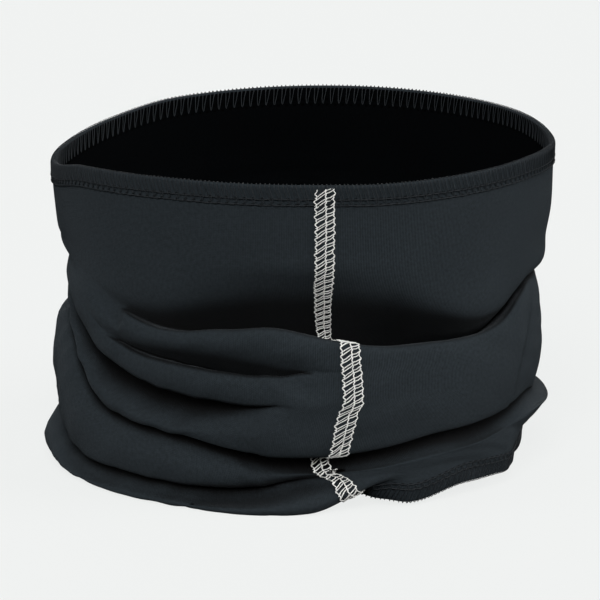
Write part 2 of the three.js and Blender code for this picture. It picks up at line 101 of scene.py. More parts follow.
FOOT = [
    [-150, 19, 3, -1], [-120, 23, 5, -2], [-90, 23.5, 7, -2], [-81, 20.5, 8, -2],
    [-74, 16, 8, -3], [-67, 11.5, 7, -3], [-60, 9.5, 6, -3], [-43, 8.5, 6, -3], [-30, 7.8, 5, -3],
    [-20, 7.3, 5, -3], [-12, 8, 4, -2], [-4, 9.5, 2.5, -1], [4, 11, 1, 0], [12, 11.5, 0, 0],
    [25, 13.5, 0, 0], [42, 16.5, 0, 0], [60, 19.5, 0, 0], [90, 21, 0, 0], [130, 20, 0, 0],
    [180, 15, 0, 0],
]
FOLDS = [(HOLLOW, 0.65), (SLIT, 0.35), (GROOVE, 0.7), (CREASE, 0.4), (FOOT, 0.4)]

# %% [markdown]
# The upper half leans in over the hollow in a long slope. Its plan gives how far above the crease
# the slope starts, and how far in the cloth already is there.

# %% The slope over the hollow
ROOF = [
    [-60, 2, 0.0], [-45, 6, 0.5], [-32, 10, 1.2], [-20, 13, 2.0], [-8, 14, 2.8], [2, 16, 3.5],
    [12, 18, 3.2], [20, 18, 2.5], [31, 13, 1.5], [45, 6, 1.0], [54, 4, 0.6], [70, 3, 0.5],
    [90, 3, 0.5], [125, 8, 1.0], [160, 8, 1.0], [180, 3, 0.2],
]

# %% [markdown]
# The upper edge isn't level, the lower half is drawn in a little, and the hem stands free on the
# right but is rolled under at the front left. Each of these is a plan of its own: how far the upper
# edge dips; the hem's height, inset and how far it is rolled; the waist's inset; the panel's inset
# at its edge, at its upper and lower part and in the rolls; and the lowest roll's inset at its
# side and where it meets the floor.

# %% Edge, waist and hem plans
RIM_DROP = [
    [-150, 1.5], [-128, 5], [-105, 8], [-90, 8.5], [-75, 6.5], [-60, 2.5], [-45, 1], [-25, 0],
    [0, 0], [20, 0.7], [60, 0.3], [90, 2], [120, 0], [160, -0.5],
]
HEM = [
    [-165, 0, 0.5, 0], [-158, 0, 0.5, 0.1], [-132, 3, 2, 0.9], [-120, 3, 2, 1], [-5, 3, 2, 1],
    [2, 3, 2, 0.95], [20, 3, 2, 0.1], [26, 2, 1, 0], [42, 6, 1, 0], [55, 5.5, 1, 0],
    [64, 5, 5, 0], [75, 5.5, 9, 0], [90, 6, 9, 0], [115, 2.5, 5, 0], [140, 0, 1, 0],
]
WAIST = [
    [-90, 3.4], [-65, 1.5], [-45, 0.3], [-30, 1], [-18, 3], [-5, 4.2], [8, 3.2], [20, 1], [45, 0],
    [70, 0.8], [90, 1.0], [125, 1.5], [180, 0.5],
]
PANEL = [
    [-120, 1.4, 3.0, 4.2, 5.5], [-90, 1.4, 3.1, 4.3, 8.0], [-75, 1.2, 2.9, 4.2, 5.0],
    [-60, 0.8, 2.0, 3.0, 1.5], [-30, 0, 1, 2, 0], [50, 0, 1, 2, 0], [75, 0, 1.2, 2.5, 3.5],
    [90, -0.6, 0.2, 2.5, 6], [120, 0, 1, 2, 3.5], [180, 0, 1, 2, 2],
]
FOOT_ROLL = [
    [-150, -1.3, 1.6], [-105, -1.6, 1.6], [-90, -2, 1.5], [-76, -1.3, 5.5], [-60, -1.0, 8],
    [-39, -1.0, 3.8], [-22, -2, 0], [-13, -3, -2], [0, -3, -2], [20, -1.3, 1.6],
    [90, -1.3, 1.6],
]
UPPER_PANEL_DROP = 22.0
BAND_INSET = 0.2
LIP_INSET = 1.0
ROLL_FULLNESS = 0.1
MOST_SWELL = 2.2
CROWN = 0.06
LEAST_STEP = 1.6
FULL_FOLD = 3.0
LEAST_SPREAD = 2.0
LEAST_ROLL = 4.0
FOOT_BULGE = 0.4
CONTACT_WIDTH = 5.4
ROLLED_HEM_TOP = (3.0, 9.4)
PANEL_SHARE = 0.7
PARTING_FOLDS = (1, 2)
CREASE_FOLD = 3
LINES_AT_HEM = 7
LEAST_CONTACT = 1.6
STANDING_HEM_LEAN = -80.0
ROLLED_HEM_LEAN = 80.0

# %% [markdown]
# The knit has twisted as it slumped, so the seam wanders to the right and back. Its azimuth is
# given at the edge, at the three lines of each fold and at the hem.

# %% Where the seam goes
SEAM_AT_EDGE = 5.5
SEAM_AT_FOLDS = [[5.5, 8, 11], [11.2, 11.4, 11.5], [11.5, 11.2, 10.6], [8.4, 5, 5.2], [7, 8.5, 9.5]]
SEAM_AT_HEM = 13.4
SEAM_TWIST_AT_HEM = [0.3, 0.6, 0.8, 1, 1]

# %% [markdown]
# A plan has only a few rows, so it is read with a smooth curve through them. A monotone cubic is
# used because it never swings past a row, so a fold that ends, ends cleanly.

# %% Reading a plan
def read_plan(plan, azimuth, column):
    rows = np.array(plan, dtype=float)
    turned = (azimuth - rows[0, 0]) % 360 + rows[0, 0]
    x = np.concatenate([rows[-1:, 0] - 360, rows[:, 0], rows[:2, 0] + 360])
    y = np.concatenate([rows[-1:, column], rows[:, column], rows[:2, column]])
    slope = np.diff(y) / np.diff(x)
    product = slope[:-1] * slope[1:]
    total = slope[:-1] + slope[1:]
    tangent = np.where(product > 0, 2 * product / np.where(total == 0, 1, total), 0)
    i = np.clip(np.searchsorted(x[1:-1], turned, side="right") - 1, 0, len(rows) - 1)
    width = x[i + 2] - x[i + 1]
    t = (turned - x[i + 1]) / width
    held = y[i + 1] * (2 * t**3 - 3 * t**2 + 1) + y[i + 2] * (3 * t**2 - 2 * t**3)
    return held + width * (tangent[i] * (t**3 - 2 * t**2 + t) + tangent[i + 1] * (t**3 - t**2))


def mix(a, b, share):
    return a + (b - a) * share


print("depth of the hollow at azimuth 30:", read_plan(HOLLOW, np.array([30.0]), 2).round(1))

# %% [markdown]
# ## The profile of the cloth
# At each azimuth the cloth's outside is a list of lines from the upper edge down to the hem: three
# lines for each fold, upper lip, valley and lower lip, and one for the full part of each roll
# between two folds. A line is a height and an inset from the widest outline. Where a fold dies out,
# its three lines close up to a small step, and neighbouring folds are pushed apart to make room
# for the two walls of the cloth between them.

# %% Lines of one fold
def fold_lines(plan, spread, azimuth):
    height, depth, lap = (read_plan(plan, azimuth, column) for column in (1, 2, 3))
    formed = np.minimum(1, depth / FULL_FOLD)
    soft = mix(LEAST_STEP, depth * spread + LEAST_SPREAD, formed)
    sharp = mix(LEAST_STEP, 0, formed)
    return {
        "upper": height + np.where(lap > 0, soft, sharp),
        "valley": height - lap,
        "lower": height - np.where(lap > 0, sharp, soft),
        "depth": depth,
        "lip": LIP_INSET * formed,
        "formed": formed,
    }


def keep_apart(above, part, below, beside, least):
    short = np.maximum(0, least - (above[part] - below[beside]))
    above[part] = above[part] + short / 2
    below[beside] = below[beside] - short / 2


# %% Lines from the edge to the hem
def profile_at(azimuth):
    rim = STANDING_HEIGHT - read_plan(RIM_DROP, azimuth, 1)
    waist = read_plan(WAIST, azimuth, 1)
    hem_height, hem_inset, rolled = (read_plan(HEM, azimuth, column) for column in (1, 2, 3))
    folds = [fold_lines(plan, spread, azimuth) for plan, spread in FOLDS]
    rise, roof_inset = read_plan(ROOF, azimuth, 1), read_plan(ROOF, azimuth, 2)
    folds[0]["upper"] = read_plan(HOLLOW, azimuth, 1) + rise
    for above, below in zip(folds, folds[1:]):
        roll = mix(LEAST_STEP, LEAST_ROLL, np.minimum(above["formed"], below["formed"]))
        keep_apart(above, "lower", below, "upper", roll)
        keep_apart(above, "valley", below, "valley", roll)

    panel = rim - UPPER_PANEL_DROP
    edge_inset, upper_inset, lower_inset, gather = (
        read_plan(PANEL, azimuth, column) for column in (1, 2, 3, 4)
    )
    lines = [
        (rim, edge_inset),
        (rim - EDGE_BAND_WIDTH, edge_inset + BAND_INSET),
        (panel, upper_inset),
        ((panel + folds[0]["upper"]) / 2, mix(upper_inset, lower_inset, PANEL_SHARE)),
    ]
    roll_top = folds[0]["lower"]
    roll_foot = folds[CREASE_FOLD]["upper"]

    def full_roll(height):
        from_middle = (2 * height - roll_top - roll_foot) / (roll_top - roll_foot)
        crown = np.minimum(MOST_SWELL, CROWN * (roll_top - roll_foot))
        return crown * np.maximum(0, 1 - from_middle**2)

    for i, fold in enumerate(folds):
        above = lower_inset if i == 0 else gather if i <= CREASE_FOLD else waist
        beside = gather if i < CREASE_FOLD else waist
        plain = (1 - fold["formed"]) if i in PARTING_FOLDS else 0 * waist
        for part, base, extra in (
            ("upper", above, roof_inset if i == 0 else fold["lip"]),
            ("valley", beside, fold["depth"]),
            ("lower", beside, fold["lip"]),
        ):
            lines.append((fold[part], base + extra - plain * full_roll(fold[part])))
        if i == len(folds) - 1:
            continue
        below = folds[i + 1]
        height = (fold["lower"] + below["upper"]) / 2
        own_swell = np.minimum(MOST_SWELL, ROLL_FULLNESS * (fold["lower"] - below["upper"]))
        parted = np.maximum(
            fold["formed"] if i in PARTING_FOLDS else 0,
            below["formed"] if i + 1 in PARTING_FOLDS else 0,
        )
        parted = parted if i < CREASE_FOLD else 1 + 0 * waist
        lines.append((height, beside - mix(full_roll(height), own_swell, parted)))
    bulge, contact = read_plan(FOOT_ROLL, azimuth, 1), read_plan(FOOT_ROLL, azimuth, 2)
    lines.append((folds[-1]["lower"] * FOOT_BULGE, bulge))
    lines.append((0 * rim, contact))
    lines.append((0 * rim, contact + CONTACT_WIDTH))
    lines = [[height, inset] for height, inset in lines]

    hem_top = hem_height + EDGE_BAND_WIDTH
    first = len(lines) - LINES_AT_HEM
    start = lines[first]
    for k in range(first + 1, len(lines)):
        share = (k - first) / (len(lines) - first)
        lines[k] = [
            mix(mix(start[0], hem_top, share), lines[k][0], rolled),
            mix(mix(start[1], hem_inset, share), lines[k][1], rolled),
        ]
    top_inset = np.maximum(contact, LEAST_CONTACT) + ROLLED_HEM_TOP[1]
    top = [mix(hem_top, ROLLED_HEM_TOP[0], rolled), mix(hem_inset, top_inset, rolled)]
    lean = np.radians(mix(STANDING_HEM_LEAN, ROLLED_HEM_LEAN, rolled))
    lines.append(top)
    lines.append([
        np.maximum(0, top[0] + EDGE_BAND_WIDTH * np.sin(lean)),
        top[1] + EDGE_BAND_WIDTH * np.cos(lean),
    ])
    return lines


LINES = len(profile_at(np.zeros(1)))
print("lines in a profile:", LINES)

# %% [markdown]
# ## The guide grid
# A column of the grid is a place on the sheet, and each of its lines is looked up at its own
# azimuth, because of the twist. The lines are joined down each column by a Catmull-Rom curve,
# which rounds the lips of the folds.

# %% Where the seam lies on each line
seam_at_line = [SEAM_AT_EDGE] * 4
for i, fold in enumerate(SEAM_AT_FOLDS):
    seam_at_line += fold
    if i + 1 < len(SEAM_AT_FOLDS):
        seam_at_line.append(mix(fold[2], SEAM_AT_FOLDS[i + 1][0], 0.5))
at_foot = seam_at_line[-1]
seam_at_line += [mix(at_foot, SEAM_AT_HEM, share) for share in SEAM_TWIST_AT_HEM]

# %% A grid of guide points
GRID_COLUMNS = 320


def guide_grid(around):
    columns = []
    for k, seam_at in enumerate(seam_at_line):
        azimuth = around + seam_at * np.cos(np.radians(around) / 2) ** 2
        height, inset = profile_at(azimuth)[k]
        angle = np.radians(azimuth)
        columns.append(np.stack([
            (OPENING_WIDTH / 2 - inset) * np.sin(angle),
            -(OPENING_DEPTH / 2 - inset) * np.cos(angle),
            height,
        ], axis=-1))
    return np.stack(columns, axis=1)


around = np.arange(GRID_COLUMNS) * 360 / GRID_COLUMNS
guides = guide_grid(around)
lengths = np.linalg.norm(np.diff(guides, axis=1), axis=2)
edge_to_hem = lengths.sum(1)[:: GRID_COLUMNS // 8]
print("cloth from edge to hem, mm, at 8 places round:", edge_to_hem.round())

# %% A smooth curve down each column
ROW_LENGTH = 1.25
LEAST_KNOT = 0.05


def smooth_rows(points, steps):
    before = 2 * points[:, :1] - points[:, 1:2]
    after = 2 * points[:, -1:] - points[:, -2:-1]
    p = np.concatenate([before, points, after], axis=1)
    knot = np.maximum(LEAST_KNOT, np.linalg.norm(np.diff(p, axis=1), axis=2)) ** 0.5
    rows = []
    for k, count in enumerate(steps):
        p0, p1, p2, p3 = (p[:, k + n] for n in range(4))
        t1 = knot[:, k, None]
        t2 = t1 + knot[:, k + 1, None]
        t3 = t2 + knot[:, k + 2, None]
        for s in range(count):
            t = mix(t1, t2, s / count)
            a1 = mix(p0, p1, t / t1)
            a2 = mix(p1, p2, (t - t1) / (t2 - t1))
            a3 = mix(p2, p3, (t - t2) / (t3 - t2))
            b1 = mix(a1, a2, t / t2)
            b2 = mix(a2, a3, (t - t1) / (t3 - t1))
            rows.append(mix(b1, b2, (t - t1) / (t2 - t1)))
    rows.append(points[:, -1])
    return np.stack(rows, axis=1)


steps = np.maximum(2, np.ceil(lengths.mean(0) / ROW_LENGTH)).astype(int)
cloth = smooth_rows(guides, steps)
ROWS = cloth.shape[1]
print("grid:", GRID_COLUMNS, "columns by", ROWS, "rows")

# %% [markdown]
# ## Small folds and drags
# Between the big folds, real cloth is never even. Long shallow drags run along the folds, and the
# open panel is slightly uneven. Both are smooth noise, pushed along the cloth's outward direction.
# The drags slant a little, and they only begin where the cloth has slumped.

# %% Outward direction of a grid
TINY = 1e-6


def outward_of(grid):
    across = np.roll(grid, -1, axis=0) - np.roll(grid, 1, axis=0)
    down = np.gradient(grid, axis=1)
    facing = np.cross(down, across)
    return facing / np.maximum(TINY, np.linalg.norm(facing, axis=2, keepdims=True))


# %% Flat coordinates of the sheet
def sheet_down(grid):
    length = np.linalg.norm(np.diff(grid, axis=1), axis=2)
    down = np.concatenate([np.zeros((len(grid), 1)), np.cumsum(length, axis=1)], axis=1)
    return down


# %% Noise on the cloth
DRAG_DEPTH = 0.7
DRAG_SIZE = (40.0, 8.0)
UNEVEN_DEPTH = 0.5
DRAG_SLANT = 0.12
UNEVEN_SIZE = (60.0, 40.0)
UNEVEN_SEED = 9.0
SLUMP_STARTS, SLUMP_FADE = 35.0, 25.0
EDGE_FADE = 15.0


def wrapped_noise(degrees, height, size, offset):
    radius = FLAT_WIDTH / (2 * np.pi) / size[0]
    angle = np.radians(degrees)
    flat = zip((radius * np.sin(angle)).ravel(), (radius * np.cos(angle)).ravel(),
               (height / size[1]).ravel())
    values = [noise.noise(Vector((x + offset, y, z))) for x, y, z in flat]
    return np.array(values).reshape(degrees.shape)


degrees = np.repeat(around[:, None], ROWS, axis=1)
down = sheet_down(cloth)
drag = wrapped_noise(degrees, down + DRAG_SLANT * degrees, DRAG_SIZE, 0.0)
uneven = wrapped_noise(degrees, down, UNEVEN_SIZE, UNEVEN_SEED)
slumped = np.clip((down - SLUMP_STARTS) / SLUMP_FADE, 0, 1)
relief = DRAG_DEPTH * drag * slumped + UNEVEN_DEPTH * uneven * np.clip(down / EDGE_FADE, 0, 1)

# %% [markdown]
# At the right, the big middle roll is pinched: a short ridge runs up it, and the cloth behind the
# ridge steps in. A ridge and a step across one slanting line make it, faded out above and below.

# %% The pinch on the right
PINCH_HEIGHTS = (26.0, 40.0, 62.0)
PINCH_AZIMUTHS = (54.5, 57.0, 67.0)
PINCH_RIDGE = 0.7
PINCH_STEP = 1.3
PINCH_EDGE = 0.8
PINCH_REACH = 9.0
PINCH_FADE = 5.0
PINCHED_CLOTH = (45, 150)


def pinch_on(grid):
    height = grid[..., 2]
    azimuth = np.degrees(np.arctan2(grid[..., 0] / OPENING_WIDTH, -grid[..., 1] / OPENING_DEPTH))
    past = (azimuth - np.interp(height, PINCH_HEIGHTS, PINCH_AZIMUTHS)) / DEGREES_PER_MM
    in_fade = (height - PINCH_HEIGHTS[0]) / PINCH_FADE
    out_fade = (PINCH_HEIGHTS[-1] + PINCH_FADE - height) / PINCH_FADE
    held = np.clip(np.minimum(in_fade, out_fade), 0, 1)
    ridge = PINCH_RIDGE * np.exp(-((past / PINCH_EDGE) ** 2))
    stepped = 1 / (1 + np.exp(-past / (PINCH_EDGE / 2)))
    step = PINCH_STEP * stepped * np.exp(-np.maximum(0, past) / PINCH_REACH)
    return held * (ridge - step)


in_pinch = (down > PINCHED_CLOTH[0]) & (down < PINCHED_CLOTH[1])
relief += np.where(in_pinch, pinch_on(cloth), 0)
cloth = cloth + outward_of(cloth) * relief[..., None]
cloth[..., 2] = np.maximum(cloth[..., 2], 0)
print("deepest drag, mm:", round(float(np.abs(relief).max()), 2))

# %% [markdown]
# ## From a grid to a place on the cloth
# The panel, the seam and both edges all need points on the same cloth. One function finds a point
# and its outward direction for any place round the sheet and any row.

# %% A point on the cloth
outward = outward_of(cloth)


def on_cloth(grid, degrees_round):
    place = np.asarray(degrees_round, dtype=float) / 360 * GRID_COLUMNS
    i = np.floor(place).astype(int)
    t = (place - i)[:, None, None]
    p0, p1, p2, p3 = (grid[(i + n) % GRID_COLUMNS] for n in (-1, 0, 1, 2))
    return 0.5 * (
        2 * p1 + (p2 - p0) * t + (2 * p0 - 5 * p1 + 4 * p2 - p3) * t**2
        + (3 * p1 - p0 - 3 * p2 + p3) * t**3
    )


# %% [markdown]
# ## The panel
# The panel is a closed solid: an outside grid, an inside grid one cloth thickness behind it,
# rounded edges top and bottom, and the two cut ends that butt together under the seam. Cloth is
# squeezed thinner on the inside of a sharp bend, so the wall is too. That keeps the inside grid
# from crossing itself in most bends, but not in the tightest. The UV map is in millimetres on the
# flat sheet, so the knit follows the cloth into every fold.

# %% Mesh from numbers
def new_mesh(name, vertices, faces, uvs=None):
    mesh = bpy.data.meshes.new(name)
    mesh.from_pydata([tuple(v) for v in np.asarray(vertices) * MM], [], faces)
    if uvs is not None:
        layer = mesh.uv_layers.new(name="flat_sheet")
        index = np.empty(len(mesh.loops), dtype=int)
        mesh.loops.foreach_get("vertex_index", index)
        layer.data.foreach_set("uv", np.asarray(uvs)[index].astype(np.float32).ravel())
    mesh.shade_smooth()
    piece = bpy.data.objects.new(name, mesh)
    bpy.context.scene.collection.objects.link(piece)
    return piece


# %% A closed section of the cloth
EDGE_TURNS = (45, 90, 135)
BEND_ROOM = 0.9
EDGE_ROWS = 5
TURNS = len(EDGE_TURNS)
AROUND_SECTION = 2 * ROWS + 2 * TURNS
INSIDE_HEM = ROWS + TURNS
INSIDE_TOP = INSIDE_HEM + ROWS - 1


def wall_at(out, side):
    tangent = np.diff(out, axis=1)
    step = np.linalg.norm(tangent, axis=2)
    turn = np.diff(side, axis=1)
    bend = (turn * tangent).sum(2) / np.maximum(TINY, step**2)
    above = np.pad(bend, ((0, 0), (1, 0)), "edge")
    below = np.pad(bend, ((0, 0), (0, 1)), "edge")
    wall = np.minimum(CLOTH_THICKNESS, BEND_ROOM / np.maximum(TINY, np.maximum(above, below)))
    wall[:, :EDGE_ROWS] = CLOTH_THICKNESS
    wall[:, -EDGE_ROWS:] = CLOTH_THICKNESS
    return wall


def closed_section(degrees_round):
    out = on_cloth(cloth, degrees_round)
    side = on_cloth(outward, degrees_round)
    side /= np.linalg.norm(side, axis=2, keepdims=True)
    inner = out - wall_at(out, side)[..., None] * side

    def rounded_edge(row, beside):
        past = out[:, row] - out[:, beside]
        past /= np.linalg.norm(past, axis=1, keepdims=True)
        turned = [np.radians(turn) for turn in EDGE_TURNS]
        ways = np.stack([side[:, row] * np.cos(t) + past * np.sin(t) for t in turned], axis=1)
        middle = (out[:, row] + inner[:, row]) / 2
        return middle[:, None] + CLOTH_THICKNESS / 2 * ways, ways

    top, top_ways = rounded_edge(0, 1)
    hem, hem_ways = rounded_edge(ROWS - 1, ROWS - 2)
    points = np.concatenate([out, hem, inner[:, ::-1], top[:, ::-1]], axis=1)
    points[..., 2] = np.maximum(points[..., 2], 0)
    ways = np.concatenate([side, hem_ways, -side[:, ::-1], top_ways[:, ::-1]], axis=1)
    return points, ways


half_gap = SEAM_BUTT_GAP / 2 * DEGREES_PER_MM
panel_around = np.concatenate([[half_gap], around[1:], [360 - half_gap]])
section, _ = closed_section(panel_around)
print("points in the closed section:", AROUND_SECTION)

# %% [markdown]
# Near the two edges the flat distance is the true one, because the overlock is sewn at a set
# distance from the edge. Between them it is shared out, so the flat sheet is the same height all
# round. The folded cloth isn't: the lengths printed above are up to about a fifth off that height,
# because the folds were drawn for their shape and not unrolled from one sheet.

# %% Flat coordinates for the knit
EDGE_ZONE = 10.0


def flat_distance(grid):
    length = sheet_down(grid)
    whole = length[:, -1:]
    share = (length - EDGE_ZONE) / (whole - 2 * EDGE_ZONE)
    middle = EDGE_ZONE + share * (FLAT_HEIGHT - 2 * EDGE_ZONE)
    near_hem = FLAT_HEIGHT - (whole - length)
    past_middle = np.where(length > whole - EDGE_ZONE, near_hem, middle)
    return np.where(length < EDGE_ZONE, length, past_middle)


flat_v = flat_distance(section[:, :ROWS])
flat_u = panel_around / DEGREES_PER_MM
section_v = np.concatenate([
    flat_v,
    np.repeat(flat_v[:, -1:], TURNS, axis=1),
    flat_v[:, ::-1],
    np.repeat(flat_v[:, :1], TURNS, axis=1),
], axis=1)
section_uv = np.stack([np.repeat(flat_u[:, None], AROUND_SECTION, axis=1), section_v], axis=-1)

# %% The panel's faces
def at(i, k):
    return i * AROUND_SECTION + k % AROUND_SECTION


faces = []
face_slot = []
for i in range(len(panel_around) - 1):
    for k in range(AROUND_SECTION):
        faces.append((at(i, k), at(i, k + 1), at(i + 1, k + 1), at(i + 1, k)))
        face_slot.append(1 if INSIDE_HEM <= k < INSIDE_TOP else 0)
for i, flip in ((0, False), (len(panel_around) - 1, True)):
    caps = [
        (at(i, j), at(i, INSIDE_TOP - j), at(i, INSIDE_TOP - j - 1), at(i, j + 1))
        for j in range(ROWS - 1)
    ]
    caps.append(tuple(at(i, k) for k in [0, *range(AROUND_SECTION - 1, INSIDE_TOP - 1, -1)]))
    caps.append(tuple(at(i, k) for k in range(INSIDE_HEM, ROWS - 2, -1)))
    faces += [cap[::-1] if flip else cap for cap in caps]
    face_slot += [0] * len(caps)
panel = new_mesh("body_panel_knit", section.reshape(-1, 3), faces, section_uv.reshape(-1, 2))
panel.data.polygons.foreach_set("material_index", face_slot)
print("panel:", len(panel.data.polygons), "faces")

# %% [markdown]
# ## Guides for the stitches
# Every stitch is drawn flat, as on a sewing pattern, and then wrapped over the cloth. The wrapping
# needs a strip of the cloth's surface whose UV map is the flat pattern, in metres. There is one
# strip on each face under the seam, and one round each edge that goes over the edge to the back.
# The strips are helpers and are deleted once the stitches are made.

# %% A guide strip
def guide_strip(name, points, ways, flat):
    columns, rows = points.shape[:2]
    index = np.arange(columns * rows).reshape(columns, rows)
    quads = [
        (index[i, j], index[i, j + 1], index[i + 1, j + 1], index[i + 1, j])
        for i in range(columns - 1) for j in range(rows - 1)
    ]
    strip = new_mesh(name, points.reshape(-1, 3), quads, flat.reshape(-1, 2) * MM)
    layer = strip.data.attributes.new("outward", "FLOAT_VECTOR", "POINT")
    layer.data.foreach_set("vector", ways.reshape(-1).astype(np.float32))
    return strip


# %% Strips under the seam
STRIP_HALF = 7.0
STRIP_STEPS = 29
across = np.linspace(-STRIP_HALF, STRIP_HALF, STRIP_STEPS)
seam_points, seam_ways = closed_section(across * DEGREES_PER_MM)
seam_down = sheet_down(seam_points[STRIP_STEPS // 2 : STRIP_STEPS // 2 + 1, :ROWS])[0]
SEAM_LENGTH = seam_down[-1]
seam_flat = np.stack(np.meshgrid(across, seam_down, indexing="ij"), axis=-1)
seam_face = guide_strip("seam_face", seam_points[:, :ROWS], seam_ways[:, :ROWS], seam_flat)
back_rows = np.arange(INSIDE_TOP, INSIDE_HEM - 1, -1)
seam_back = guide_strip("seam_back", seam_points[:, back_rows], seam_ways[:, back_rows], seam_flat)
print("seam length, mm:", round(SEAM_LENGTH, 1))

# %% Strips over the two edges
STRIP_ROWS = 11
OVERHANG = 4
edge_around = np.arange(-OVERHANG, GRID_COLUMNS + OVERHANG + 1) * 360 / GRID_COLUMNS
edge_points, edge_ways = closed_section(edge_around)


def edge_strip(name, first, edge_row, sign):
    rows = (first + np.arange(2 * STRIP_ROWS + TURNS)) % AROUND_SECTION
    points = edge_points[:, rows]
    length = sheet_down(points).mean(0)
    from_edge = sign * (length - length[list(rows).index(edge_row)])
    flat = np.stack(np.meshgrid(edge_around / DEGREES_PER_MM, from_edge, indexing="ij"), axis=-1)
    return guide_strip(name, points, edge_ways[:, rows], flat)


top_edge = edge_strip("top_edge", INSIDE_TOP - STRIP_ROWS + 1, 0, 1)
hem_edge = edge_strip("hem_edge", ROWS - STRIP_ROWS, ROWS - 1, -1)

# %% [markdown]
# ## The wrapping tree
# A seam is one stitch, drawn once and repeated. Geometry Nodes repeat it along a line, turn its
# strands into thread, nudge it a little with seeded noise, and lift it from the flat pattern onto
# the cloth: Sample UV Surface finds the cloth's point and its outward direction under each vertex.

# %% Small helpers for trees
def add(tree, kind, **settings):
    made = tree.nodes.new(kind)
    for name, value in settings.items():
        setattr(made, name, value)
    return made


def vector_math(tree, operation, *inputs):
    made = add(tree, "ShaderNodeVectorMath", operation=operation)
    for socket, value in zip(made.inputs, inputs):
        if isinstance(value, bpy.types.NodeSocket):
            tree.links.new(value, socket)
        else:
            socket.default_value = value
    return made.outputs["Vector"]


# %% The tree
TREE_INPUTS = [
    ("One Stitch", "NodeSocketObject"), ("Cloth", "NodeSocketObject"),
    ("Stitches", "NodeSocketInt"), ("First", "NodeSocketVector"), ("Step", "NodeSocketVector"),
    ("Thread Radius", "NodeSocketFloat"), ("Unevenness", "NodeSocketFloat"),
    ("Unevenness Size", "NodeSocketFloat"), ("Seed", "NodeSocketFloat"),
    ("Thread", "NodeSocketMaterial"),
]
THREAD_SIDES = 5
NUDGE_SHARES = (4.0, 4.0, 0.8)


